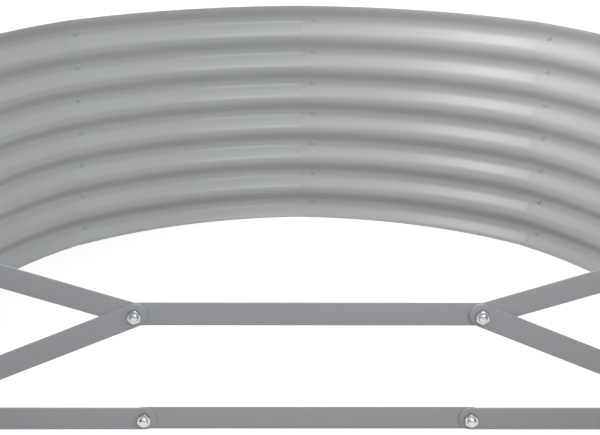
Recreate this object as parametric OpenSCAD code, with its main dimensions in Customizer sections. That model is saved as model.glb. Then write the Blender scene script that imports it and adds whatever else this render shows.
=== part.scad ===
// Oval raised garden bed of corrugated sheet steel, open at the top and the bottom.
// Ten lapped wall panels stand on the ground and a flat-strip truss ties the long sides together.
// X is the width, Y is the length, Z is up. The origin is on the ground in the middle of the bed.

/* [Bed] */
// Width between the two straight walls, crest to crest on the inside
bed_w = 1000; // [800:10:1300]
// Length between the two round ends, crest to crest on the inside
bed_l = 1750; // [1500:10:2400]
// Radius that the curved panels are rolled to, at their inner crests
panel_r = 566; // [480:2:720]

/* [Corrugated sheet] */
// Thickness of the wall sheet
sheet_t = 0.8; // [0.6:0.1:1.2]
// Number of outward waves over the height of the wall
wave_count = 7; // [6:1:9]
// Height of one wave
wave_pitch = 52; // [48:1:56]
// Depth of a wave, from inner crest to outer crest
wave_depth = 12; // [10:0.5:14]
// Steepest slope of the wave, measured from upright
flank_angle = 36; // [34:1:40]
// Height cut off the last half wave at the rim and at the ground
edge_cut = 2; // [1:0.5:4]

/* [Panel laps] */
// Length of the sheet that runs on behind the next panel
lap_len = 37; // [32:1:60]
// Distance from the edge of the inner sheet to its row of screws
screw_inset = 18.5; // [14:0.5:24]
// Clearance between two lapped sheets, square to the sheet
lap_gap = 0.05; // [0.05:0.05:0.2]

/* [Seam screws] */
// Thread diameter of the seam screws
screw_d = 4; // [3:0.5:5]
// Diameter of the rounded screw head
screw_head_d = 8; // [7:0.5:9]
// Height of the rounded screw head
screw_head_h = 2.8; // [2:0.1:3.5]
// Width across the flats of the seam nuts
seam_nut_af = 7; // [6:0.5:8]
// Height of the seam nuts
seam_nut_h = 3.2; // [2.5:0.1:4]

/* [Truss] */
// Width of the flat strips
strip_w = 25; // [20:1:32]
// Thickness of the flat strips
strip_t = 2; // [1.5:0.5:3]
// Distance between the two bolts of the upper link
link_span = 356; // [280:2:440]
// Height of the upper link above the ground
link_z = 182; // [165:1:210]
// Distance between the two bolts of the middle piece of the lower tie
tie_span = 344; // [260:2:420]
// Height of the lower tie above the ground
tie_z = 64; // [55:1:100]
// Height of the outer ends of the upper diagonals above the ground
upper_z = 271; // [255:1:290]

/* [Wall posts] */
// Depth of the leg that the strips are bolted to
post_web_w = 52; // [50:1:70]
// Width of the leg that lies on the wall
post_flange_w = 30; // [26:1:40]
// Thickness of the folded post
post_t = 2; // [1.5:0.5:3]
// Height of the post
post_h = 300; // [280:5:305]
// Distance from the inner crests of the wall to the strip bolts
post_inset = 37; // [34:1:40]
// Number of waves between the two wall bolts of a post
post_bolt_waves = 3; // [1:2:3]

/* [Truss bolts] */
// Thread diameter of the truss bolts
bolt_d = 8; // [6:1:8]
// Length of the truss bolts below the head
bolt_len = 16; // [15:0.5:20]
// Width across the flats of the truss bolt heads and nuts
bolt_af = 13; // [11:0.5:14]
// Height of the truss bolt heads
bolt_head_h = 5.3; // [4:0.1:6]
// Height of the truss nuts
bolt_nut_h = 6.5; // [5:0.1:7]
// Diameter of the washers under the bolt heads
washer_d = 16; // [15:0.5:20]
// Thickness of the washers under the bolt heads
washer_t = 1.6; // [1:0.2:2]

/* [Wall bolts] */
// Thread diameter of the bolts that hold the posts to the wall
wall_bolt_d = 6; // [5:0.5:6]
// Diameter of the button heads of the wall bolts
wall_head_d = 10.5; // [9:0.5:12]
// Height of the button heads of the wall bolts
wall_head_h = 3.3; // [2.5:0.1:4]
// Width across the flats of the wall nuts
wall_nut_af = 10; // [9:0.5:11]
// Height of the wall nuts
wall_nut_h = 5; // [4:0.1:6]
// Clearance all round a bolt or screw in its hole
hole_clear = 0.25; // [0.1:0.05:0.4]

/* [Hidden] */

$fn = 64;
// Facets of a full turn of a panel, fine enough for the thin sheet
panel_fn = 360;
// Clearance of a piece that is laid on a curved sheet
seat_gap = 0.05;
// Length of thread that shows beyond a small nut
thread_out = 1.5;
// Size of the chamfer on the end of a bolt
chamfer = 0.8;
// Tangential width of the crease where a sheet turns into its lap, and how far it stands proud
crease_w = 1.2;
crease_rise = 0.4;
// Clearance between the edge of a sheet and the crease beside it
edge_gap = 0.2;

sheet_color = [0.64, 0.66, 0.67];
strip_color = [0.56, 0.57, 0.58];
zinc_color = [0.83, 0.84, 0.86];

wall_h = wave_count * wave_pitch - 2 * edge_cut;
wave_mid = wave_depth / 2 + sheet_t / 2;
// Radius of the arcs of the wave and length of the straight flank between two arcs
wave_r = (wave_pitch / 2 * tan(flank_angle) - wave_depth) / (2 / cos(flank_angle) - 2);
flank_len = (wave_pitch / 2 - 2 * wave_r * sin(flank_angle)) / cos(flank_angle);
// Shift, square to the wall, that lets one corrugated sheet nest behind another
lap_shift = (sheet_t + lap_gap) / cos(flank_angle);

// Plan of the bed, along the middle of the waves
end_panels = 4;
end_r = bed_w / 2 + wave_mid;
end_y = (bed_l - bed_w) / 2;
mid_r = panel_r + wave_mid;
panels = 2 * end_panels + 2;
right_side = end_panels;
left_side = 2 * end_panels + 1;

// Places of the outward waves and of the inner crests between them
function wave_z(k) = wall_h / 2 + (k - (wave_count - 1) / 2) * wave_pitch;
function crest_z(k) = wall_h / 2 + k * wave_pitch / 2;
// How deep a flat round face of radius r stands off a hollow arc of the wave
function seat(r) = (wave_r - sheet_t / 2) - sqrt(pow(wave_r - sheet_t / 2, 2) - r * r);

// Seam j is the start of panel j. Panels run clockwise, seen from above, from the left end of the far wall.
function turn(j) = j <= end_panels ? 180 - 180 / end_panels * j : -180 / end_panels * (j - end_panels - 1);
function seam_y(j) = j <= end_panels ? end_y : -end_y;
function seam(j, out) = [(end_r + out) * cos(turn(j)), seam_y(j) + (end_r + out) * sin(turn(j))];
function is_side(i) = i == right_side || i == left_side;
// Outward shift of the sheet that ends at seam j. The sheet that starts there lies lap_shift further in.
function end_shift(j) = is_side(j) ? lap_shift : is_side(j - 1) || j == 0 ? 0 : lap_shift / 2;
function start_point(i) = seam(i, end_shift(i) - lap_shift);
function end_point(i) = seam((i + 1) % panels, end_shift((i + 1) % panels));
// Centre that a curved panel is rolled about, and the directions from there to its two ends
function panel_span(i) = 2 * asin(norm(end_point(i) - start_point(i)) / 2 / mid_r);
function inward(i) = let(d = end_point(i) - start_point(i)) [d[1], -d[0]] / norm(d);
function panel_centre(i) =
    (start_point(i) + end_point(i)) / 2 + inward(i) * mid_r * cos(panel_span(i) / 2);
function start_angle(i) =
    let(d = start_point(i) - panel_centre(i)) atan2(d[1], d[0]);
function arc_angle(len) = len / mid_r * 180 / PI;

// One arc of the wave, bulging along +X about its own centre
module wave_arc(t) {
    intersection() {
        difference() {
            circle(r = wave_r + t / 2);
            circle(r = wave_r - t / 2);
        }
        polygon([
            [0, 0],
            2 * wave_r * [cos(flank_angle), -sin(flank_angle)],
            2 * wave_r * [cos(flank_angle), sin(flank_angle)]
        ]);
    }
}

// One straight flank of the wave, from an outward arc below it to an inward arc above it
module wave_flank(t) {
    rotate(flank_angle) translate([-t / 2, -flank_len / 2]) square([t, flank_len]);
}

// Section of the corrugated sheet, t thick, with the middle of the waves at X = mid
module wave_section(mid, t = sheet_t) {
    turns = 2 * wave_count;
    intersection() {
        translate([mid - wave_depth, 0]) square([2 * wave_depth, wall_h]);
        translate([mid, wall_h / 2]) union() {
            for (k = [-wave_count : 1 : wave_count]) {
                side = (k + wave_count + 1) % 2 == 0 ? 1 : -1;
                translate([side * (wave_depth / 2 - wave_r), k * wave_pitch / 2])
                    mirror([side > 0 ? 0 : 1, 0]) wave_arc(t);
            }
            for (k = [-wave_count : 1 : wave_count - 1]) {
                side = (k + wave_count + 1) % 2 == 0 ? 0 : 1;
                translate([0, (k + 0.5) * wave_pitch / 2])
                    mirror([side, 0]) wave_flank(t);
            }
        }
    }
}

// Straight stretch of sheet that runs from Y = from down to Y = -to
module straight_sheet(from, to, mid, t = sheet_t) {
    translate([0, from, 0]) rotate([90, 0, 0]) linear_extrude(from + to) wave_section(mid, t);
}

// Stretch of sheet along the curve of panel i, between two distances from its start
module sheet_along(i, from, to, shift) {
    if (is_side(i)) {
        translate([0, start_point(i)[1], 0])
            rotate(i == right_side ? 0 : 180) straight_sheet(-from, to, end_r + shift);
    } else {
        translate(panel_centre(i)) rotate(start_angle(i) - arc_angle(to))
            rotate_extrude(angle = arc_angle(to - from), $fn = panel_fn)
                wave_section(mid_r + shift);
    }
}

function panel_len(i) =
    is_side(i) ? 2 * end_y : panel_span(i) / arc_angle(1);

// Puts children on the wall line at the row of screws of seam j, with +X outwards
module at_seam_row(j) {
    if (is_side(j)) {
        side = j == right_side ? 1 : -1;
        translate([side * end_r, start_point(j)[1] - side * screw_inset, 0])
            rotate(side > 0 ? 0 : 180) children();
    } else {
        translate(panel_centre(j)) rotate(start_angle(j) - arc_angle(screw_inset))
            translate([mid_r, 0, 0]) children();
    }
}

// Puts children at each outward wave of seam j, with +Z outwards and the wall line at Z = 0
module at_seam_screws(j) {
    at_seam_row(j) for (k = [0 : wave_count - 1])
        translate([0, 0, wave_z(k)]) rotate([0, 90, 0]) children();
}

// Puts children at each wall bolt of a post, with +Z outwards and the inner crests at Z = 0
module at_wall_bolts(side) {
    for (k = [-1, 1])
        translate([side * bed_w / 2, post_flange_w / 2, crest_z(k * post_bolt_waves)])
            rotate([0, side * 90, 0]) children();
}

// Crease at the end of panel i, where the sheet turns to follow the next panel
module crease(i) {
    j = (i + 1) % panels;
    p = end_point(i);
    translate([p[0], p[1], 0]) rotate(turn(j))
        straight_sheet(crease_w + edge_gap, -edge_gap, 0, sheet_t + 2 * crease_rise);
}

// Wall panel i: its own stretch, the crease and the lap behind the next panel
module wall_panel(i) {
    j = (i + 1) % panels;
    color(sheet_color) difference() {
        union() {
            sheet_along(i, edge_gap, panel_len(i) - edge_gap - crease_w / 2, 0);
            crease(i);
            sheet_along(j, -edge_gap - crease_w / 2, lap_len, lap_shift);
        }
        for (s = [i, j])
            at_seam_screws(s) cylinder(d = screw_d + 2 * hole_clear, h = 3 * wave_depth, center = true);
        if (is_side(i))
            at_wall_bolts(i == right_side ? 1 : -1)
                cylinder(d = wall_bolt_d + 2 * hole_clear, h = wave_depth, center = true);
    }
}

// Flat strip with round ends, len between its two holes, from Y = 0 to Y = -strip_t
module strip(len) {
    color(strip_color) rotate([90, 0, 0]) linear_extrude(strip_t) difference() {
        union() {
            translate([0, -strip_w / 2]) square([len, strip_w]);
            for (x = [0, len]) translate([x, 0]) circle(d = strip_w);
        }
        for (x = [0, len]) translate([x, 0]) circle(d = bolt_d + 2 * hole_clear);
    }
}

// Strip between two points [x, z] of the truss, in layer n in front of the posts
module strip_between(a, b, n) {
    translate([a[0], -n * strip_t, a[1]])
        rotate([0, -atan2(b[1] - a[1], b[0] - a[0]), 0]) strip(norm(b - a));
}

post_x = bed_w / 2 - post_inset;
function link_end(side) = [side * link_span / 2, link_z];
function tie_end(side) = [side * tie_span / 2, tie_z];
function upper_end(side) = [side * post_x, upper_z];
function lower_end(side) = [side * post_x, tie_z];

module upper_link() {
    translate([0, strip_t, 0]) strip_between(link_end(-1), link_end(1), 0);
}

module upper_diagonal(side) {
    strip_between(link_end(side), upper_end(side), 0);
}

module lower_diagonal(side) {
    strip_between(link_end(side), lower_end(side), 1);
}

module tie_middle() {
    translate([0, strip_t, 0]) strip_between(tie_end(-1), tie_end(1), 0);
}

module tie_outer(side) {
    strip_between(tie_end(side), lower_end(side), 0);
}

// Folded post on the inside of a long wall. The web takes the strips and the flange lies on the crests.
module post(side) {
    bend_r = 2 * post_t;
    flange_x = bed_w / 2 - seat_gap;
    color(strip_color) mirror([side > 0 ? 0 : 1, 0, 0]) difference() {
        translate([0, 0, (wall_h - post_h) / 2]) linear_extrude(post_h) {
            translate([flange_x - post_web_w, 0]) square([post_web_w - bend_r, post_t]);
            translate([flange_x - post_t, bend_r]) square([post_t, post_flange_w - bend_r]);
            translate([flange_x - bend_r, bend_r]) intersection() {
                difference() {
                    circle(r = bend_r);
                    circle(r = bend_r - post_t);
                }
                translate([0, -bend_r]) square(bend_r);
            }
        }
        // Corners of the web, cut off at 45 degrees
        for (z = [0, 1])
            translate([flange_x - post_web_w, post_t / 2, wall_h / 2 + (z - 0.5) * post_h])
                rotate([0, 45, 0]) cube([strip_w / 2, 2 * post_t, strip_w / 2], center = true);
        for (z = [tie_z, upper_z])
            translate([post_x, post_t / 2, z]) rotate([90, 0, 0])
                cylinder(d = bolt_d + 2 * hole_clear, h = 2 * post_t, center = true);
        at_wall_bolts(1) cylinder(d = wall_bolt_d + 2 * hole_clear, h = 4 * post_t, center = true);
    }
}

// Hexagon nut or head of width af, with its rounded corners on the side away from Z = 0
module hexagon(af, h) {
    corner = af / cos(30) / 2;
    intersection() {
        cylinder(r = corner, h = h, $fn = 6);
        rotate_extrude() polygon([
            [0, 0], [corner, 0], [corner, h - (corner - af / 2) * tan(30)],
            [af / 2, h], [0, h]
        ]);
    }
}

module hexagon_nut(af, h, d) {
    difference() {
        hexagon(af, h);
        translate([0, 0, -1]) cylinder(d = d, h = h + 2);
    }
}

// Threaded shank, plain here, with a chamfered end at Z = len
module shank(d, len) {
    rotate_extrude() polygon([
        [0, 0], [d / 2, 0], [d / 2, len - chamfer], [d / 2 - chamfer, len], [0, len]
    ]);
}

// Low rounded head of diameter d and height h below Z = 0, a cap of a sphere on a short rim
module dome_head(d, h) {
    rim = h / 5;
    cap = h - rim;
    ball = (pow(d / 2, 2) + cap * cap) / (2 * cap);
    translate([0, 0, -rim]) cylinder(d = d, h = rim);
    translate([0, 0, -rim]) intersection() {
        translate([0, 0, ball - cap]) sphere(r = ball);
        translate([0, 0, -cap]) cylinder(d = d, h = cap);
    }
}

// Places of the truss bolts: [x, z, layers of strip in front of the first one]
function truss_places() = [
    for (side = [-1, 1]) each [
        [link_end(side)[0], link_z, 2],
        [tie_end(side)[0], tie_z, 1],
        [side * post_x, tie_z, 2],
        [side * post_x, upper_z, 1]
    ]
];

// Puts children at each truss bolt, with +Z towards the near end and the first strip's front at Z = 0
module at_truss_bolts() {
    for (p = truss_places())
        translate([p[0], 0, p[1]]) rotate([90, 0, 0]) children();
}

module truss_bolts() {
    back = max(strip_t, post_t) + washer_t;
    color(zinc_color) at_truss_bolts() translate([0, 0, -back]) {
        shank(bolt_d, bolt_len);
        mirror([0, 0, 1]) hexagon(bolt_af, bolt_head_h);
    }
}

module truss_washers() {
    color(zinc_color) at_truss_bolts() translate([0, 0, -max(strip_t, post_t) - washer_t])
        difference() {
            cylinder(d = washer_d, h = washer_t);
            translate([0, 0, -1]) cylinder(d = bolt_d + 2 * hole_clear, h = washer_t + 2);
        }
}

module truss_nuts() {
    color(zinc_color) for (p = truss_places())
        translate([p[0], -p[2] * strip_t, p[1]]) rotate([90, 0, 0])
            hexagon_nut(bolt_af, bolt_nut_h, bolt_d);
}

// Distance from the inner crests to the outside of the sheet at a wall bolt's head
wall_seat = sheet_t + seat(wall_head_d / 2) + seat_gap;

module wall_bolts() {
    len = wall_seat + seat_gap + post_t + wall_nut_h + thread_out;
    color(zinc_color) for (side = [-1, 1]) at_wall_bolts(side)
        translate([0, 0, wall_seat]) mirror([0, 0, 1]) {
            dome_head(wall_head_d, wall_head_h);
            shank(wall_bolt_d, len);
        }
}

module wall_nuts() {
    color(zinc_color) for (side = [-1, 1]) at_wall_bolts(side)
        translate([0, 0, -seat_gap - post_t]) mirror([0, 0, 1])
            hexagon_nut(wall_nut_af, wall_nut_h, wall_bolt_d);
}

// Inner seat of a screw head and outer seat of its nut, measured from the wall line
head_seat = wave_depth / 2 - sheet_t / 2 - seat(screw_head_d / 2) - seat_gap;
nut_seat = wave_depth / 2 + lap_shift + sheet_t / 2 + seat_gap;

module seam_screws() {
    color(sheet_color) for (j = [0 : panels - 1]) at_seam_screws(j)
        translate([0, 0, head_seat]) {
            dome_head(screw_head_d, screw_head_h);
            shank(screw_d, nut_seat - head_seat + seam_nut_h + thread_out);
        }
}

module seam_nuts() {
    color(zinc_color) for (j = [0 : panels - 1]) at_seam_screws(j)
        translate([0, 0, nut_seat]) hexagon_nut(seam_nut_af, seam_nut_h, screw_d);
}

wall_panel(0);  // far_panel_1
wall_panel(1);  // far_panel_2
wall_panel(2);  // far_panel_3
wall_panel(3);  // far_panel_4
wall_panel(right_side);  // right_panel
wall_panel(5);  // near_panel_1
wall_panel(6);  // near_panel_2
wall_panel(7);  // near_panel_3
wall_panel(8);  // near_panel_4
wall_panel(left_side);  // left_panel
upper_link();
upper_diagonal(-1);  // upper_diagonal_left
upper_diagonal(1);  // upper_diagonal_right
lower_diagonal(-1);  // lower_diagonal_left
lower_diagonal(1);  // lower_diagonal_right
tie_middle();
tie_outer(-1);  // tie_left
tie_outer(1);  // tie_right
post(-1);  // post_left
post(1);  // post_right
truss_bolts();
truss_washers();
truss_nuts();
wall_bolts();
wall_nuts();
seam_screws();
seam_nuts();
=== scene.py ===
"""Looks of the oval raised garden bed: corrugated sheet, coated strips, zinc bolts, light and camera.

Everything is in metres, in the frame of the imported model: X is the width, Y the length, Z is up, and the
origin is on the ground in the middle of the bed.
"""

from math import radians, tau

import bmesh
import bpy
import numpy as np
from mathutils import Matrix


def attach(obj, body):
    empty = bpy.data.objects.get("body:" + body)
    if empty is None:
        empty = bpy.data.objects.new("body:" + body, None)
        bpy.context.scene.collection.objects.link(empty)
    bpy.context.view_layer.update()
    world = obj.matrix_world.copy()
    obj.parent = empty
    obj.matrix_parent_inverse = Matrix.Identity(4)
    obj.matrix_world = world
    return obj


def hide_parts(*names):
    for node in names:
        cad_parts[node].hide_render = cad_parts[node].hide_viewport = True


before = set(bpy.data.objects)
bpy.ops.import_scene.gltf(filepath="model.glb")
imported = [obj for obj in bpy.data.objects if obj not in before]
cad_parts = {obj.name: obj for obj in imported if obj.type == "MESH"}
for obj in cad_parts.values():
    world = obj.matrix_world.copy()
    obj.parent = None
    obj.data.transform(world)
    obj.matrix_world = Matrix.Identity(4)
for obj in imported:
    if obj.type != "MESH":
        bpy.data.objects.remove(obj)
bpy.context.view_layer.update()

# Sizes, as in the part's own source.
BED_W = 1.0
BED_L = 1.75
PANEL_R = 0.566
SHEET_T = 0.0008
WAVES = 7
WAVE_PITCH = 0.052
WAVE_DEPTH = 0.012
FLANK_ANGLE = radians(36)
EDGE_CUT = 0.002
LAP_LEN = 0.037
SCREW_INSET = 0.0185
LAP_GAP = 0.00005
EDGE_GAP = 0.0002
SEAT_GAP = 0.00005

WALL_H = WAVES * WAVE_PITCH - 2 * EDGE_CUT
WAVE_MID = WAVE_DEPTH / 2 + SHEET_T / 2
WAVE_R = (WAVE_PITCH / 2 * np.tan(FLANK_ANGLE) - WAVE_DEPTH) / (2 / np.cos(FLANK_ANGLE) - 2)
LAP_SHIFT = (SHEET_T + LAP_GAP) / np.cos(FLANK_ANGLE)

END_PANELS = 4
END_R = BED_W / 2 + WAVE_MID
END_Y = (BED_L - BED_W) / 2
MID_R = PANEL_R + WAVE_MID
PANELS = 2 * END_PANELS + 2
SIDES = (END_PANELS, 2 * END_PANELS + 1)

STRIP_W = 0.025
STRIP_T = 0.002
LINK_SPAN = 0.356
LINK_Z = 0.182
TIE_SPAN = 0.344
TIE_Z = 0.064
UPPER_Z = 0.271
POST_X = BED_W / 2 - 0.037
POST_T = 0.002
POST_FLANGE = 0.03
POST_BOLT_WAVES = 3
BOLT_D = 0.008
BOLT_LEN = 0.016
BOLT_AF = 0.013
BOLT_HEAD_H = 0.0053
BOLT_NUT_H = 0.0065
WASHER_D = 0.016
WASHER_T = 0.0016
HOLE_CLEAR = 0.00025
SCREW_D = 0.004
SCREW_HEAD_D = 0.008
SEAM_NUT_AF = 0.007
SEAM_NUT_H = 0.0032
WALL_BOLT_D = 0.006
WALL_HEAD_D = 0.0105
WALL_HEAD_H = 0.0033
WALL_NUT_AF = 0.010
WALL_NUT_H = 0.005
THREAD_OUT = 0.0015

# Sizes of the finer shapes that only the looks have.
SHEET_BREAK = 0.0002
STRIP_BREAK = 0.0004
WASHER_BREAK = 0.00015
LAP_FADE = 0.012
LAP_EDGE = 0.08
CREASE_HALF = 0.0015
SEAM_COLUMNS = np.array([0, 0.004, 0.009, 0.013, 0.016, 0.0185, 0.021, 0.024, 0.028, 0.033])
STRAIGHT_COLUMNS = 16
STRAIGHT_START = 0.05
CURVED_COLUMNS = 38
CURVED_START = 0.042
CURVED_END = 0.012
SCREW_HEAD_H = 0.0019
SCREW_RECESS = 0.0016
BOLT_PITCH = 0.00125
WALL_BOLT_PITCH = 0.001
BOLT_CROWN = 0.0001
HEX_FACE = 0.475
HEX_CONE = 0.48
HEX_CONE_ANGLE = radians(30)

# The noise in the finishes varies between these two values.
NOISE_LOW, NOISE_HIGH = 0.3, 0.7


# Meshes from grids of points.
def wrap_grid(rows, columns, close_rows):
    """Corner numbers of the quads of a grid whose columns run round; its rows close too if asked."""
    r = np.arange(rows if close_rows else rows - 1)[:, None]
    c = np.arange(columns)[None, :]
    up, on = (r + 1) % rows, (c + 1) % columns
    return np.stack(
        [r * columns + c, r * columns + on, up * columns + on, up * columns + c], axis=-1
    ).reshape(-1, 4)


def build_mesh(name, points, quads, triangles=None, sharp=35):
    """Object of the given points and faces, shaded smooth except across edges sharper than the angle."""
    triangles = np.zeros((0, 3), int) if triangles is None else triangles
    mesh = bpy.data.meshes.new(name)
    mesh.vertices.add(len(points))
    mesh.vertices.foreach_set("co", np.asarray(points, np.float32).ravel())
    corners = np.concatenate([quads.ravel(), triangles.ravel()]).astype(np.int32)
    sizes = np.concatenate([np.full(len(quads), 4), np.full(len(triangles), 3)]).astype(np.int32)
    mesh.loops.add(len(corners))
    mesh.loops.foreach_set("vertex_index", corners)
    mesh.polygons.add(len(sizes))
    mesh.polygons.foreach_set("loop_start", np.concatenate([[0], np.cumsum(sizes)[:-1]]).astype(np.int32))
    mesh.update(calc_edges=True)
    mesh.polygons.foreach_set("use_smooth", np.ones(len(sizes), bool))
    mesh.set_sharp_from_angle(angle=radians(sharp))
    mesh.validate()
    piece = bpy.data.objects.new(name, mesh)
    bpy.context.scene.collection.objects.link(piece)
    return piece


def turned_shape(rings, start=None, end=None):
    """Points and faces of a stack of rings (rows, columns, 3), with a fan at a start and an end point.

    Without those two points the last ring joins the first, as on a washer. Rings run anticlockwise
    seen from the end of the stack, so faces point outwards where the stack goes from the bottom to
    the top.
    """
    rows, columns = rings.shape[:2]
    points = rings.reshape(-1, 3)
    if start is None:
        return points, wrap_grid(rows, columns, True), np.zeros((0, 3), int)
    quads = wrap_grid(rows, columns, False)
    c = np.arange(columns)
    on = (c + 1) % columns
    first, last = len(points), len(points) + 1
    low = np.stack([np.full(columns, first), on, c], axis=1)
    top = (rows - 1) * columns
    high = np.stack([np.full(columns, last), top + c, top + on], axis=1)
    return np.concatenate([points, [start], [end]]), quads, np.concatenate([low, high])


def place_copies(name, shape, places, sharp=35):
    """One object of many copies of a shape, one at each place (origin, X, Y, Z).

    A point (x, y, z) of the shape comes to origin + x*X + y*Y + z*Z.
    """
    points, quads, triangles = shape
    places = np.asarray(places)
    moved = places[:, None, 0] + np.einsum("pk,nkc->npc", points, places[:, 1:])
    step = (np.arange(len(places)) * len(points))[:, None, None]
    return build_mesh(
        name,
        moved.reshape(-1, 3),
        (quads[None] + step).reshape(-1, 4),
        (triangles[None] + step).reshape(-1, 3),
        sharp,
    )


def dress(piece, material, slot, *nodes):
    """Puts the piece in place of the CAD nodes, with its material. The slot is not used."""
    piece.data.materials.clear()
    piece.data.materials.append(material)
    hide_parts(*nodes)
    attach(piece, "root")
    return piece


# Plan of the wall.
def unit(angle):
    """Unit vector of the plan at an angle."""
    return np.array([np.cos(angle), np.sin(angle)])


def seam_turn(j):
    """Direction of seam j seen from the middle of its round end.

    The seams lie at eighths of a turn, clockwise from the left.
    """
    return radians(180 - 45 * j if j <= END_PANELS else -45 * (j - END_PANELS - 1))


def seam_point(j, out):
    """Point of the plan at seam j, out beyond the line of the middle of the waves."""
    middle = np.array([0, END_Y if j <= END_PANELS else -END_Y])
    return middle + (END_R + out) * unit(seam_turn(j))


def end_shift(j):
    """How far out the sheet lies that ends at seam j.

    The sheet that starts there lies a lap's depth further in.
    """
    if j in SIDES:
        return LAP_SHIFT
    return 0.0 if (j - 1) in SIDES or j == 0 else LAP_SHIFT / 2


def panel_line(i, shift):
    """Plan curve of panel i, moved outwards by shift.

    It is a function of the distance along the panel that gives points and outward directions. A side
    panel is a straight line. An end panel is an arc of radius MID_R through the points of its seams.
    """
    start = seam_point(i, end_shift(i) - LAP_SHIFT)
    if i in SIDES:
        side = 1 if i == SIDES[0] else -1
        origin = np.array([side * (END_R + shift), start[1]])
        out = np.array([side, 0.0])
        return lambda s: (
            origin + np.multiply.outer(s, np.array([0.0, -side])),
            np.broadcast_to(out, (len(s), 2)),
        )
    end = seam_point((i + 1) % PANELS, end_shift((i + 1) % PANELS))
    chord = end - start
    reach = np.linalg.norm(chord)
    inward = np.array([chord[1], -chord[0]]) / reach
    half = np.arcsin(reach / 2 / MID_R)
    centre = (start + end) / 2 + inward * MID_R * np.cos(half)
    first = np.arctan2(*(start - centre)[::-1])

    def along(s):
        a = first - s / MID_R
        out = np.stack([np.cos(a), np.sin(a)], axis=1)
        return centre + (MID_R + shift) * out, out

    return along


def panel_length(i):
    """Length of panel i from seam to seam."""
    if i in SIDES:
        return 2 * END_Y
    start = seam_point(i, end_shift(i) - LAP_SHIFT)
    end = seam_point((i + 1) % PANELS, end_shift((i + 1) % PANELS))
    return 2 * MID_R * np.arcsin(np.linalg.norm(end - start) / 2 / MID_R)


# Corrugated sheet.
def wave_line(z):
    """Offset outwards and slope angle of the wave at height z.

    The wave is arcs of radius WAVE_R joined by straight flanks. With d the height from the nearest
    crest or valley, the arc falls by WAVE_R - sqrt(WAVE_R^2 - d^2) and the flank goes on at
    FLANK_ANGLE. The outward valleys hold the screws.
    """
    half = WAVE_PITCH / 2
    turn = (z - WALL_H / 2) / half
    nearest = np.rint(turn)
    d = (turn - nearest) * half
    side = np.where(nearest % 2 == 0, 1, -1)
    flat = WAVE_R * np.sin(FLANK_ANGLE)
    on_arc = np.minimum(np.abs(d), flat)
    off = WAVE_R - np.sqrt(WAVE_R**2 - on_arc**2) + (np.abs(d) - on_arc) * np.tan(FLANK_ANGLE)
    slope = np.arcsin(on_arc / WAVE_R) * np.sign(d)
    return side * (WAVE_DEPTH / 2 - off), side * slope


def wave_heights():
    """Heights of the rows of a panel: six steps to each arc of the wave and one to each half flank."""
    steps = WAVE_R * np.sin(np.linspace(0, 1, 7) * FLANK_ANGLE)
    quarter = np.append(steps, WAVE_PITCH / 4)
    middles = WALL_H / 2 + WAVE_PITCH / 2 * np.arange(-WAVES, WAVES + 1)
    z = np.concatenate([middles[:, None] - quarter, middles[:, None] + quarter], 1)
    z = np.unique(np.round(z, 7))
    nearest = SHEET_BREAK + 1e-4
    z = z[(z > nearest) & (z < WALL_H - nearest)]
    return np.concatenate([[SHEET_BREAK], z, [WALL_H - SHEET_BREAK]])


def sheet_section():
    """Closed section (offset, height) of the sheet: up the outside, over the rim, down the inside.

    Each face lies half a thickness from the wave line, along its normal. The rim and the foot have
    their corners broken by SHEET_BREAK.
    """
    z = wave_heights()
    off, slope = wave_line(z)
    across = np.stack([np.cos(slope), np.sin(slope)], axis=1) * SHEET_T / 2
    line = np.stack([off, z], axis=1)
    foot_off, rim_off = wave_line(np.array([0.0, WALL_H]))[0]
    flat = SHEET_T / 2 - SHEET_BREAK
    return np.concatenate(
        [
            line + across,
            [[rim_off + flat, WALL_H], [rim_off - flat, WALL_H]],
            (line - across)[::-1],
            [[foot_off - flat, 0], [foot_off + flat, 0]],
        ]
    )


def screw_heights():
    """Heights of the outward valleys, where the seams are screwed."""
    return WALL_H / 2 + WAVE_PITCH * (np.arange(WAVES) - (WAVES - 1) / 2)


def fade_columns():
    """First columns of a sheet and the share of the thickness that each has.

    It grows from LAP_EDGE to 1 as the square of a sine over LAP_FADE, as a lap that is pressed flush does.
    """
    along = np.linspace(EDGE_GAP, LAP_FADE, 9)
    grown = np.sin(np.linspace(0, tau / 4, 9)) ** 2
    return along, LAP_EDGE + (1 - LAP_EDGE) * grown


def wall_panel(i):
    """Places and outward directions of the sheet's columns.

    They run along its own stretch, over the crease and along the lap behind the next panel, and lie
    closer together round the screws, at SEAM_COLUMNS from the seam.
    """
    length = panel_length(i)
    if i in SIDES:
        middle = np.linspace(STRAIGHT_START, length - STRAIGHT_START, STRAIGHT_COLUMNS)
    else:
        middle = np.linspace(CURVED_START, length - CURVED_END, CURVED_COLUMNS)
    own = np.concatenate(
        [
            fade_columns()[0],
            SEAM_COLUMNS[SEAM_COLUMNS > LAP_FADE],
            middle,
            [length - SEAM_COLUMNS[1], length - CREASE_HALF],
        ]
    )
    lap = np.concatenate([[CREASE_HALF], SEAM_COLUMNS[1:], [LAP_LEN]])
    j = (i + 1) % PANELS
    places, outs = panel_line(i, 0)(own)
    lap_places, lap_outs = panel_line(j, LAP_SHIFT)(lap)
    crease = seam_point(j, end_shift(j))
    places = np.concatenate([places, [crease], lap_places])
    outs = np.concatenate([outs, [unit(seam_turn(j))], lap_outs])
    return places, outs


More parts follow.
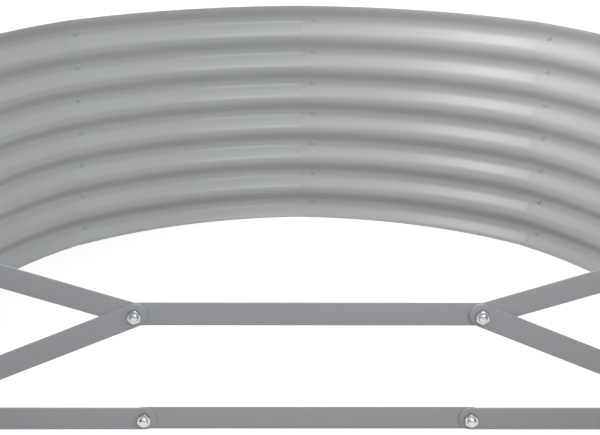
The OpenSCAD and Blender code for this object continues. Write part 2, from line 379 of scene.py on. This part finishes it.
def sheet_object(name, places, outs):
    """Sweep of the section along the plan.

    Point (column, k) = place + offset k * outward direction, at height k. In the first columns the
    inner points are drawn towards the outer ones, so that the edge that shows from inside the bed
    lies flush.
    """
    section = sheet_section()
    columns, rows = len(places), len(section)
    faced = rows // 2 - 2
    outer = np.arange(faced)
    inner = 2 * faced + 1 - outer
    backed = section.copy()
    backed[inner] = section[outer]
    backed[[faced + 1, 2 * faced + 2]] = section[[faced, 2 * faced + 3]]
    share = np.ones(columns)
    faded = fade_columns()[1]
    share[: len(faded)] = faded
    swept = backed + share[:, None, None] * (section - backed)
    flat = places[:, None, :] + swept[:, :, :1] * outs[:, None, :]
    points = np.concatenate([flat, swept[:, :, 1:]], axis=2).reshape(-1, 3)
    quads = wrap_grid(columns, rows, False)
    last = (columns - 1) * rows
    caps = np.concatenate(
        [
            np.stack([outer[:-1], outer[1:], inner[1:], inner[:-1]], axis=1),
            [[faced - 1, faced, faced + 1, faced + 2]],
            [[2 * faced + 1, 2 * faced + 2, 2 * faced + 3, 0]],
        ]
    )
    return build_mesh(name, points, np.concatenate([quads, caps[:, ::-1], last + caps]), sharp=30)


# Flat strips of the truss.
def strip_shape(length, width, thickness, hole):
    """Flat strip with round ends along X, from its first hole to its second, and Y = 0 to -thickness.

    Each half is a ring of quads on both faces, from the hole to the outline. The outline is two half
    circles and two straight sides. Its edges are rounded by STRIP_BREAK, in steps of a quarter circle.
    """
    edge_steps, end_steps, side_steps = 4, 24, 6
    a = np.linspace(np.pi / 2, 3 * np.pi / 2, end_steps + 1)
    side = np.linspace(0, 1, side_steps + 1)[1:] * length / 2
    r = width / 2
    lower = np.stack([side, np.full(side_steps, -r)], 1)
    outline = np.concatenate([r * np.stack([np.cos(a), np.sin(a)], 1), lower, (lower * [1, -1])[::-1]])
    b = np.concatenate([a, np.linspace(-np.pi / 2, np.pi / 2, 2 * side_steps + 2)[1:-1]])
    bore = hole / 2 * np.stack([np.cos(b), np.sin(b)], 1)
    normal = np.where((outline[:, :1] <= 1e-9), outline / r, np.sign(outline) * [0, 1])
    count = len(outline)
    loops = [bore]
    depth = [np.zeros(count)]
    for turn in np.linspace(0, np.pi / 2, edge_steps + 1):
        loops.append(outline - normal * STRIP_BREAK * (1 - np.sin(turn)))
        depth.append(np.full(count, STRIP_BREAK * (1 - np.cos(turn))))
    front = np.concatenate([np.stack([p[:, 0], d, p[:, 1]], 1)[None] for p, d in zip(loops, depth)])
    back = front[::-1].copy()
    back[:, :, 1] = thickness - back[:, :, 1]
    rings = np.concatenate([front, back])
    rings[:, :, 1] -= thickness
    second = rings * [-1, 1, 1] + [length, 0, 0]
    rows = len(rings)
    grid = wrap_grid(rows, count, True)
    row, column = np.divmod(grid[:, 0], count)
    cut = (column == end_steps + side_steps) & (row > 0) & (row < rows - 2)
    grid = grid[~cut]
    flipped = grid[:, ::-1] + rows * count
    points = np.concatenate([rings.reshape(-1, 3), second.reshape(-1, 3)])
    return points, np.concatenate([grid, flipped]), np.zeros((0, 3), int)


def weld(piece, sharp=35):
    """Joins the points of the piece that lie on one another and turns its faces outwards."""
    b = bmesh.new()
    b.from_mesh(piece.data)
    bmesh.ops.remove_doubles(b, verts=b.verts, dist=1e-6)
    bmesh.ops.recalc_face_normals(b, faces=b.faces)
    b.to_mesh(piece.data)
    b.free()
    piece.data.set_sharp_from_angle(angle=radians(sharp))
    return piece


def strip_object(name, a, b, layer):
    """Strip between two points (x, z) of the truss, in this layer from the posts' webs forwards."""
    a, b = np.asarray(a), np.asarray(b)
    span = np.linalg.norm(b - a)
    c, s = (b - a) / span
    shape = strip_shape(span, STRIP_W, STRIP_T, BOLT_D + 2 * HOLE_CLEAR)
    place = [[a[0], -layer * STRIP_T, a[1]], [c, 0, s], [0, 1, 0], [-s, 0, c]]
    return weld(place_copies(name, shape, [place]))


# Bolts, nuts, washers and screws.
def stack(rows, columns):
    """Rings (rows, columns, 3) of a turned piece, from its rows of a radius and a height.

    Each of the two is a number, or one value for each column.
    """
    a = np.arange(columns) * tau / columns
    radius, height = (
        np.stack([np.broadcast_to(np.asarray(row[k], float), columns) for row in rows]) for k in (0, 1)
    )
    return np.stack([radius * np.cos(a), radius * np.sin(a), height], axis=2)


def hex_radius(columns, flats):
    """Radius of a hexagon at each column: half its flats over the cosine of the angle to the flat."""
    a = np.arange(columns) * tau / columns
    return flats / 2 / np.cos((a + tau / 12) % (tau / 6) - tau / 12)


def hex_rows(flats, low, high, columns):
    """Rows (radius, height) of a hexagon's outside, its corners cut by a cone at both ends.

    The flat of each end reaches out to HEX_FACE times the width across flats, and the cone starts at
    HEX_CONE times that width.
    """
    r = hex_radius(columns, flats)
    cut = np.maximum(r - HEX_CONE * flats, 0) * np.tan(HEX_CONE_ANGLE)
    flat = HEX_FACE * flats
    return [(flat, low), (r, low + cut), (r, high - cut), (flat, high)]


def thread_rows(d, low, high, pitch, columns):
    """Rows of a thread that runs out over its last turn.

    The radius is d/2 less half a pitch times 1 - wave. With s the fraction of height / pitch - turn,
    the wave is 1.25 - 1.5 |2 s - 1|, held between 0 and 1: a triangle with its crests and roots cut.
    """
    rows_a_turn = 6
    z = np.linspace(low, high, int(np.ceil((high - low) / pitch * rows_a_turn)) + 1)
    turn = np.arange(columns) / columns
    phase = (z[:, None] / pitch - turn[None]) % 1
    wave = np.clip(1.25 - np.abs(2 * phase - 1) * 1.5, 0, 1)
    fade = np.clip((high - z) / pitch, 0, 1)[:, None]
    radius = d / 2 - pitch / 2 * (1 - wave) * fade
    return [(row, np.full(columns, h)) for row, h in zip(radius, z)]


def hex_nut(flats, height, bore, columns=48):
    """Hexagon nut from Z = 0 to Z = height, both ends chamfered, its bore opened by a cone."""
    cone = bore / 10
    rows = [(bore / 2, cone), (bore / 2 + cone, 0)]
    rows += hex_rows(flats, 0, height, columns)
    rows += [(bore / 2 + cone, height), (bore / 2, height - cone)]
    return turned_shape(stack(rows, columns))


def washer(d, bore, thickness, columns=48):
    """Flat washer from Z = 0 to Z = thickness with its outer edges broken."""
    outer, inner = d / 2, bore / 2
    rows = [
        (inner, 0),
        (outer - WASHER_BREAK, 0),
        (outer, WASHER_BREAK),
        (outer, thickness - WASHER_BREAK),
        (outer - WASHER_BREAK, thickness),
        (inner, thickness),
    ]
    return turned_shape(stack(rows, columns))


def hex_bolt(d, length, flats, head, pitch, columns=48):
    """Hexagon bolt: head below Z = 0, and a shank that is threaded up to its chamfer and low crown."""
    plain, chamfer = length * 0.35, d / 10
    head_rows = hex_rows(flats, -head, 0, columns)[:2] + [(hex_radius(columns, flats), 0)]
    rows = [(flats * 0.3, -head)] + head_rows + [(d / 2, 0)]
    rows += thread_rows(d, plain, length - chamfer, pitch, columns)
    rows += [(d / 2 - chamfer - BOLT_CROWN, length - BOLT_CROWN), (d / 5, length)]
    return turned_shape(stack(rows, columns), [0, 0, -head], [0, 0, length])


def cap_rings(cap_d, cap_h, shares):
    """Radii and heights of rings on a head, a cap of a sphere on a short rim, at shares of its radius."""
    rim = cap_h / 5
    cap = cap_h - rim
    ball = ((cap_d / 2) ** 2 + cap**2) / (2 * cap)
    r = cap_d / 2 * shares
    z = -rim - (np.sqrt(ball**2 - r**2) - (ball - cap))
    z[-1] = -rim
    return r, z


def dome_screw(d, cap_d, cap_h, length, columns=24):
    """Low rounded head below Z = 0 with a cross recess, on a plain shank that ends in a chamfer.

    The four arms of the recess are clip(1.4 - 2.2 |sin 2a|, 0, 1) deep round the head and fade out
    between 0.22 and 0.5 of its radius. Its core is sunk as deep, up to 0.28 of the radius.
    """
    chamfer = d / 8
    shares = np.array([0.1, 0.22, 0.34, 0.46, 0.6, 0.75, 0.88, 0.97, 1.0])
    r, z = cap_rings(cap_d, cap_h, shares)
    a = np.arange(columns) * tau / columns
    arm = np.clip(1.4 - 2.2 * np.abs(np.sin(2 * a)), 0, 1)
    reach = np.clip((0.5 - shares) / 0.28, 0, 1)
    core = np.clip((0.42 - shares) / 0.14, 0, 1)
    sunk = SCREW_RECESS * np.maximum(reach[:, None] * arm[None], core[:, None])
    rows = [(np.full(columns, q), h + s) for q, h, s in zip(r, z, sunk)]
    rows += [(cap_d / 2, 0), (d / 2, 0), (d / 2, length - chamfer), (d / 2 - chamfer, length)]
    return turned_shape(stack(rows, columns), [0, 0, -cap_h + SCREW_RECESS], [0, 0, length])


def button_bolt(d, cap_d, cap_h, length, columns=36):
    """Button head with a hexagon socket below Z = 0, on a shank that is threaded up to its chamfer."""
    plain, chamfer = length * 0.3, d / 10
    socket, socket_end = hex_radius(columns, cap_d * 0.38), -cap_h * 0.35
    r, z = cap_rings(cap_d, cap_h, np.array([0.42, 0.55, 0.7, 0.85, 0.95, 1.0]))
    rows = [(socket * 0.98, socket_end), (socket, z[0])] + list(zip(r, z))
    rows += [(cap_d / 2, 0), (d / 2, 0)]
    rows += thread_rows(d, plain, length - chamfer, WALL_BOLT_PITCH, columns)
    rows += [(d / 2 - chamfer, length)]
    return turned_shape(stack(rows, columns), [0, 0, socket_end], [0, 0, length])


# Places of the fasteners.
UP = np.array([0.0, 0.0, 1.0])


def seam_row(j):
    """Point of the plan and outward direction at the row of screws of seam j."""
    places, outs = panel_line(j, 0)(np.array([SCREW_INSET]))
    return places[0], outs[0]


def seam_places(offset):
    """Place of each seam screw, its origin this far outside the wall line and its Z axis outwards.

    Each is turned about its axis by an angle of its own, as if driven home by hand.
    """
    places = []
    for j in range(PANELS):
        point, out = seam_row(j)
        z_axis = np.append(out, 0.0)
        side = np.cross(z_axis, UP)
        for k, z in enumerate(screw_heights()):
            turn = 0.7 * np.sin(3.1 * j + 1.7 * k)
            x_axis = side * np.cos(turn) + UP * np.sin(turn)
            y_axis = np.cross(z_axis, x_axis)
            places.append([np.append(point, z) + offset * z_axis, x_axis, y_axis, z_axis])
    return places


def truss_places():
    """(x, z, layers of strip from the posts' webs forwards) of each truss bolt."""
    return [
        (side * x, z, layers)
        for side in (-1, 1)
        for x, z, layers in (
            (LINK_SPAN / 2, LINK_Z, 2),
            (TIE_SPAN / 2, TIE_Z, 1),
            (POST_X, TIE_Z, 2),
            (POST_X, UPPER_Z, 1),
        )
    ]


def facing_camera(x, y, z, turn):
    """Place at a point of the truss with its Z axis towards the near end, turned about that axis."""
    z_axis = np.array([0.0, -1.0, 0.0])
    x_axis = np.array([np.cos(turn), 0.0, np.sin(turn)])
    return [[x, y, z], x_axis, np.cross(z_axis, x_axis), z_axis]


def wall_bolt_places(offset):
    """Place of each wall bolt, its origin this far outside the inner crests and its Z axis outwards."""
    places = []
    for side in (-1, 1):
        for k in (-1, 1):
            z_axis = np.array([side, 0.0, 0.0])
            height = WALL_H / 2 + k * POST_BOLT_WAVES * WAVE_PITCH / 2
            origin = np.array([side * (BED_W / 2 + offset), POST_FLANGE / 2, height])
            places.append([origin, UP, np.cross(z_axis, UP), z_axis])
    return places


def seat(radius):
    """How far a flat round face of this radius stands off the hollow of an arc of the wave."""
    r = WAVE_R - SHEET_T / 2
    return r - np.sqrt(r**2 - radius**2)


def turned_round(place):
    """The same place with its Z axis the other way round."""
    origin, x, y, z = place
    return [origin, x, -np.asarray(y), -np.asarray(z)]


# Finishes.
def node_group(name, inputs, outputs):
    """Shader node group with named float inputs (name: default) and outputs (name: socket kind)."""
    group = bpy.data.node_groups.new(name, "ShaderNodeTree")
    for label, value in inputs.items():
        kind = "NodeSocketVector" if value is None else "NodeSocketFloat"
        socket = group.interface.new_socket(label, in_out="INPUT", socket_type=kind)
        if value is not None:
            socket.default_value = value
    for label, kind in outputs.items():
        group.interface.new_socket(label, in_out="OUTPUT", socket_type=kind)
    return group, group.nodes.new("NodeGroupInput"), group.nodes.new("NodeGroupOutput")


def add(tree, kind, inputs=None, **settings):
    """New node with its settings and with values or links given by input name or number."""
    node = tree.nodes.new(kind)
    for key, value in settings.items():
        setattr(node, key, value)
    for key, value in (inputs or {}).items():
        if isinstance(value, bpy.types.NodeSocket):
            tree.links.new(value, node.inputs[key])
        else:
            node.inputs[key].default_value = value
    return node


def ramp(tree, value, low, high, to_low, to_high):
    """A value carried from the range low..high to the range to_low..to_high, held at both ends."""
    node = add(tree, "ShaderNodeMapRange", {0: value, 1: low, 2: high, 3: to_low, 4: to_high})
    return node.outputs[0]


def combine(tree, operation, first, second):
    """Two values put together by a sum, a product or the larger of the two."""
    return add(tree, "ShaderNodeMath", {0: first, 1: second}, operation=operation).outputs[0]


def powder_grain_group():
    """Skin of a coat: a fine grain like orange peel, a slow ripple and soft mottling, all from noise.

    Height is the peel plus a slow ripple. Tone runs from 0 to 1 round 0.5. Gloss is a slow change
    of roughness.
    """
    group, given, out = node_group(
        "powder_grain",
        {"Position": None, "Peel Scale": 420.0, "Ripple Scale": 14.0, "Ripple": 0.5},
        {"Height": "NodeSocketFloat", "Tone": "NodeSocketFloat", "Gloss": "NodeSocketFloat"},
    )
    asked = given.outputs

    def noise(scale, **more):
        settings = {"Vector": asked["Position"], "Scale": scale, **more}
        return add(group, "ShaderNodeTexNoise", settings).outputs[0]

    peel = noise(asked["Peel Scale"], Detail=2.0)
    slow = noise(asked["Ripple Scale"], Detail=1.0)
    tone = noise(5.0, Detail=4.0, Roughness=0.6)
    swell = combine(group, "MULTIPLY", slow, asked["Ripple"])
    group.links.new(combine(group, "ADD", peel, swell), out.inputs["Height"])
    group.links.new(tone, out.inputs["Tone"])
    group.links.new(slow, out.inputs["Gloss"])
    return group


def tinted(tree, tone, colour, spread):
    """Colour scaled from 1 - spread to 1 + spread by a tone between NOISE_LOW and NOISE_HIGH."""
    scale = ramp(tree, tone, NOISE_LOW, NOISE_HIGH, 1 - spread, 1 + spread)
    node = add(tree, "ShaderNodeMix", data_type="RGBA", blend_type="MULTIPLY")
    node.inputs["Factor"].default_value = 1.0
    node.inputs["A"].default_value = (*colour, 1)
    tree.links.new(scale, node.inputs["B"])
    return node.outputs["Result"]


def skinned(name, grain, scales, tone, colour, spread, rough, change, peel):
    """Material and its shader, with the skin's colour, roughness and bump.

    The colour follows the skin's output of that name by the share spread either way. The roughness
    follows its gloss by change either way. The bump is peel metres high.
    """
    material = bpy.data.materials.new(name)
    material.use_nodes = True
    tree = material.node_tree
    shader = tree.nodes["Principled BSDF"]
    where = add(tree, "ShaderNodeTexCoord").outputs["Object"]
    skin = add(tree, "ShaderNodeGroup", scales, node_tree=grain)
    tree.links.new(where, skin.inputs["Position"])
    tree.links.new(tinted(tree, skin.outputs[tone], colour, spread), shader.inputs["Base Color"])
    gloss = ramp(tree, skin.outputs["Gloss"], NOISE_LOW, NOISE_HIGH, rough - change, rough + change)
    tree.links.new(gloss, shader.inputs["Roughness"])
    relief = {"Strength": 1.0, "Distance": peel, "Height": skin.outputs["Height"]}
    tree.links.new(add(tree, "ShaderNodeBump", relief).outputs[0], shader.inputs["Normal"])
    return material, shader


def coated_steel(name, colour, rough, grain, peel, coat=0.0):
    """Powder-coated steel: colour with slow mottling, gloss with slow changes, and the bump of its skin."""
    material, shader = skinned(name, grain, {}, "Tone", colour, 0.02, rough, 0.03, peel)
    shader.inputs["Metallic"].default_value = 0.0
    shader.inputs["Coat Weight"].default_value = coat
    shader.inputs["Coat Roughness"].default_value = 0.25
    return material


def zinc_plate(name, colour, rough, grain):
    """Bright zinc on a bolt: metal with a fine grain and slow patches of duller plating."""
    scales = {"Peel Scale": 900.0, "Ripple Scale": 120.0}
    material, shader = skinned(name, grain, scales, "Gloss", colour, 0.06, rough, 0.06, 0.00004)
    shader.inputs["Metallic"].default_value = 1.0
    return material


powder_grain = powder_grain_group()
wall_coat = coated_steel("wall_coat", (0.436, 0.44, 0.447), 0.32, powder_grain, 0.00003, coat=0.1)
strip_coat = coated_steel("strip_coat", (0.341, 0.343, 0.353), 0.5, powder_grain, 0.00004)
zinc = zinc_plate("zinc_plate", (0.6, 0.607, 0.615), 0.24, powder_grain)


# The pieces.
PANEL_NODES = (
    [f"far_panel_{k}" for k in (1, 2, 3, 4)]
    + ["right_panel"]
    + [f"near_panel_{k}" for k in (1, 2, 3, 4)]
    + ["left_panel"]
)
for number, node in enumerate(PANEL_NODES):
    dress(sheet_object(f"{node}_sheet", *wall_panel(number)), wall_coat, "wall_sheet", node)

for side, word in ((-1, "left"), (1, "right")):
    link_end = (side * LINK_SPAN / 2, LINK_Z)
    tie_end = (side * TIE_SPAN / 2, TIE_Z)
    upper_end = (side * POST_X, UPPER_Z)
    lower_end = (side * POST_X, TIE_Z)
    for node, start, end, layer in (
        (f"upper_diagonal_{word}", link_end, upper_end, 0),
        (f"lower_diagonal_{word}", link_end, lower_end, 1),
        (f"tie_{word}", tie_end, lower_end, 0),
    ):
        dress(strip_object(f"{node}_strip", start, end, layer), strip_coat, "brace_strip", node)
for node, span, z in (("upper_link", LINK_SPAN, LINK_Z), ("tie_middle", TIE_SPAN, TIE_Z)):
    middle = strip_object(f"{node}_strip", (-span / 2, z), (span / 2, z), -1)
    dress(middle, strip_coat, "brace_strip", node)

for node in ("post_left", "post_right"):
    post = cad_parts[node]
    post.data.materials.clear()
    post.data.materials.append(strip_coat)
    join = post.modifiers.new("join", "WELD")
    join.merge_threshold = 1e-6
    soften = post.modifiers.new("soften", "BEVEL")
    soften.width = STRIP_BREAK
    soften.segments = 3
    soften.limit_method = "ANGLE"
    soften.angle_limit = radians(40)

BACK = max(STRIP_T, POST_T) + WASHER_T
bolts, washers, nuts = [], [], []
for number, (x, z, layers) in enumerate(truss_places()):
    # Each bolt and each nut stands at an angle of its own, as tightened by hand.
    turn = 0.45 + 1.13 * number
    bolts.append(facing_camera(x, BACK, z, turn))
    washers.append(facing_camera(x, BACK, z, 0))
    nuts.append(facing_camera(x, -layers * STRIP_T, z, 1.9 * turn))
bolt = hex_bolt(BOLT_D, BOLT_LEN, BOLT_AF, BOLT_HEAD_H, BOLT_PITCH)
ring = washer(WASHER_D, BOLT_D + 2 * HOLE_CLEAR, WASHER_T)
nut = hex_nut(BOLT_AF, BOLT_NUT_H, BOLT_D)
dress(place_copies("truss_bolt_set", bolt, bolts), zinc, "zinc_hardware", "truss_bolts")
dress(place_copies("truss_washer_set", ring, washers), zinc, "zinc_hardware", "truss_washers")
dress(place_copies("truss_nut_set", nut, nuts), zinc, "zinc_hardware", "truss_nuts")

WALL_SEAT = SHEET_T + seat(WALL_HEAD_D / 2) + SEAT_GAP
WALL_BOLT_LEN = WALL_SEAT + SEAT_GAP + POST_T + WALL_NUT_H + THREAD_OUT
bolts = [turned_round(place) for place in wall_bolt_places(WALL_SEAT)]
nuts = [turned_round(place) for place in wall_bolt_places(-SEAT_GAP - POST_T)]
bolt = button_bolt(WALL_BOLT_D, WALL_HEAD_D, WALL_HEAD_H, WALL_BOLT_LEN)
nut = hex_nut(WALL_NUT_AF, WALL_NUT_H, WALL_BOLT_D)
dress(place_copies("wall_bolt_set", bolt, bolts), zinc, "zinc_hardware", "wall_bolts")
dress(place_copies("wall_nut_set", nut, nuts), zinc, "zinc_hardware", "wall_nuts")

HEAD_SEAT = WAVE_DEPTH / 2 - SHEET_T / 2 - seat(SCREW_HEAD_D / 2) - SEAT_GAP
NUT_SEAT = WAVE_DEPTH / 2 + LAP_SHIFT + SHEET_T / 2 + SEAT_GAP
SCREW_LEN = NUT_SEAT - HEAD_SEAT + SEAM_NUT_H + THREAD_OUT
screws, nuts = seam_places(HEAD_SEAT), seam_places(NUT_SEAT)
screw = dome_screw(SCREW_D, SCREW_HEAD_D, SCREW_HEAD_H, SCREW_LEN)
nut = hex_nut(SEAM_NUT_AF, SEAM_NUT_H, SCREW_D, 24)
dress(place_copies("seam_screw_set", screw, screws), wall_coat, "wall_sheet", "seam_screws")
dress(place_copies("seam_nut_set", nut, nuts), zinc, "zinc_hardware", "seam_nuts")


# Floor, light and camera.
def background_rays(tree):
    """Mask of the rays that see the white background: camera, glossy and transmission rays."""
    path = add(tree, "ShaderNodeLightPath").outputs
    seen = combine(tree, "MAXIMUM", path["Is Camera Ray"], path["Is Glossy Ray"])
    return combine(tree, "MAXIMUM", seen, path["Is Transmission Ray"])


def pale_floor(shine):
    """Flat floor just below the bed that takes its shadow and shines white where it is seen, by shine."""
    reach, drop = 6.0, 0.0004
    corners = np.array([[-1, -1], [1, -1], [1, 1], [-1, 1]]) * reach
    points = np.column_stack([corners, np.full(4, -drop)])
    floor = build_mesh("studio_floor", points, np.array([[0, 1, 2, 3]]))
    material = bpy.data.materials.new("pale_floor")
    material.use_nodes = True
    tree = material.node_tree
    shader = tree.nodes["Principled BSDF"]
    shader.inputs["Roughness"].default_value = 0.9
    shader.inputs["Specular IOR Level"].default_value = 0.1
    shader.inputs["Base Color"].default_value = (0.46, 0.46, 0.46, 1)
    shader.inputs["Emission Color"].default_value = (1, 1, 1, 1)
    tree.links.new(ramp(tree, background_rays(tree), 0, 1, 0, shine), shader.inputs["Emission Strength"])
    floor.data.materials.append(material)
    return floor


def studio_world(sky, low):
    """World that is white where it is seen, and lights the bed with its strengths low and high up."""
    world = bpy.data.worlds.new("studio")
    bpy.context.scene.world = world
    world.use_nodes = True
    tree = world.node_tree
    tree.nodes.clear()
    up = add(tree, "ShaderNodeSeparateXYZ", {0: add(tree, "ShaderNodeTexCoord").outputs["Generated"]})
    level = ramp(tree, up.outputs["Z"], 0.1, 0.7, low, sky)
    lit = add(tree, "ShaderNodeBackground", {"Strength": level})
    lit.inputs["Color"].default_value = (0.985, 1, 1.01, 1)
    white = add(tree, "ShaderNodeBackground", {"Strength": 1.0})
    white.inputs["Color"].default_value = (1, 1, 1, 1)
    seen = background_rays(tree)
    mix = add(tree, "ShaderNodeMixShader", {0: seen, 1: lit.outputs[0], 2: white.outputs[0]})
    out = add(tree, "ShaderNodeOutputWorld")
    tree.links.new(mix.outputs[0], out.inputs[0])


def soft_box(name, azimuth, height, size, power, colour, shines=True):
    """Rectangular lamp at LAMP_REACH from the far end, which it faces.

    Azimuth counts from the camera's side to the right, and height above level, both in degrees. The
    camera doesn't see the lamp. With shines it shows in reflections.
    """
    turn, lift = radians(azimuth), radians(height)
    back = np.array([np.sin(turn) * np.cos(lift), -np.cos(turn) * np.cos(lift), np.sin(lift)])
    right = np.cross(UP, back)
    right /= np.linalg.norm(right)
    lamp = bpy.data.lights.new(name, "AREA")
    lamp.shape = "RECTANGLE"
    lamp.size, lamp.size_y = size
    lamp.energy = power
    lamp.color = colour
    holder = bpy.data.objects.new(name, lamp)
    holder.visible_camera = False
    holder.visible_glossy = shines
    bpy.context.scene.collection.objects.link(holder)
    place = np.array(LAMP_TARGET) + LAMP_REACH * back
    holder.matrix_world = frame_matrix(right, np.cross(back, right), back, place)
    return holder


def frame_matrix(right, up, back, place):
    """4 by 4 matrix with these three axes as its columns, at a place."""
    rows = np.eye(4)
    rows[:3, 0], rows[:3, 1], rows[:3, 2], rows[:3, 3] = right, up, back, place
    return Matrix(rows.tolist())


def photo_camera(place, yaw, pitch, roll, focal_px, width_px=600):
    """Camera along +Y, turned left by yaw, down by pitch, then rolled; its focal length is in pixels."""
    cy, sy, cp, sp = np.cos(yaw), np.sin(yaw), np.cos(pitch), np.sin(pitch)
    right = np.array([cy, sy, 0])
    level = np.array([-sy, cy, 0])
    ahead = level * cp - UP * sp
    up = UP * cp + level * sp
    rolled = right * np.cos(roll) + up * np.sin(roll)
    data = bpy.data.cameras.new("photo_camera")
    data.sensor_width = 36.0
    data.lens = focal_px / width_px * data.sensor_width
    data.clip_start, data.clip_end = 0.05, 50.0
    camera = bpy.data.objects.new("photo_camera", data)
    bpy.context.scene.collection.objects.link(camera)
    camera.matrix_world = frame_matrix(rolled, np.cross(-ahead, rolled), -ahead, place)
    bpy.context.scene.camera = camera
    return camera


LAMP_REACH = 3.0
LAMP_TARGET = (0, 0.5, 0.2)
COOL = (0.965, 1, 1.02)
WARM = (1.0, 1, 0.965)
pale_floor(0.7)
studio_world(0.82, 0.47)
for name, azimuth, height, size, power, colour in (
    ("high_left", -85, 60, (0.8, 0.8), 16.5, WARM),
    ("left_front", -75, 48, (0.8, 0.8), 8.5, WARM),
    ("front_left", -60, 48, (0.8, 0.8), 4.0, WARM),
    ("left_back", -120, 48, (0.8, 0.8), 7.0, WARM),
    ("low_front", 20, 27, (2.0, 1.5), 25.7, COOL),
    ("low_right", 90, 22, (2.0, 1.5), 2.0, COOL),
    ("high_right", 80, 55, (1.5, 1.5), 4.5, COOL),
):
    soft_box(name, azimuth, height, size, power, colour)
soft_box("low_left", -92, 11, (2.0, 1.2), 49.0, WARM, shines=False)
photo_camera((-0.02017, -1.24197, 0.69517), -0.0089, 0.3178, 0.0042, 1306.1)

scene = bpy.context.scene
scene.view_settings.view_transform = "Standard"
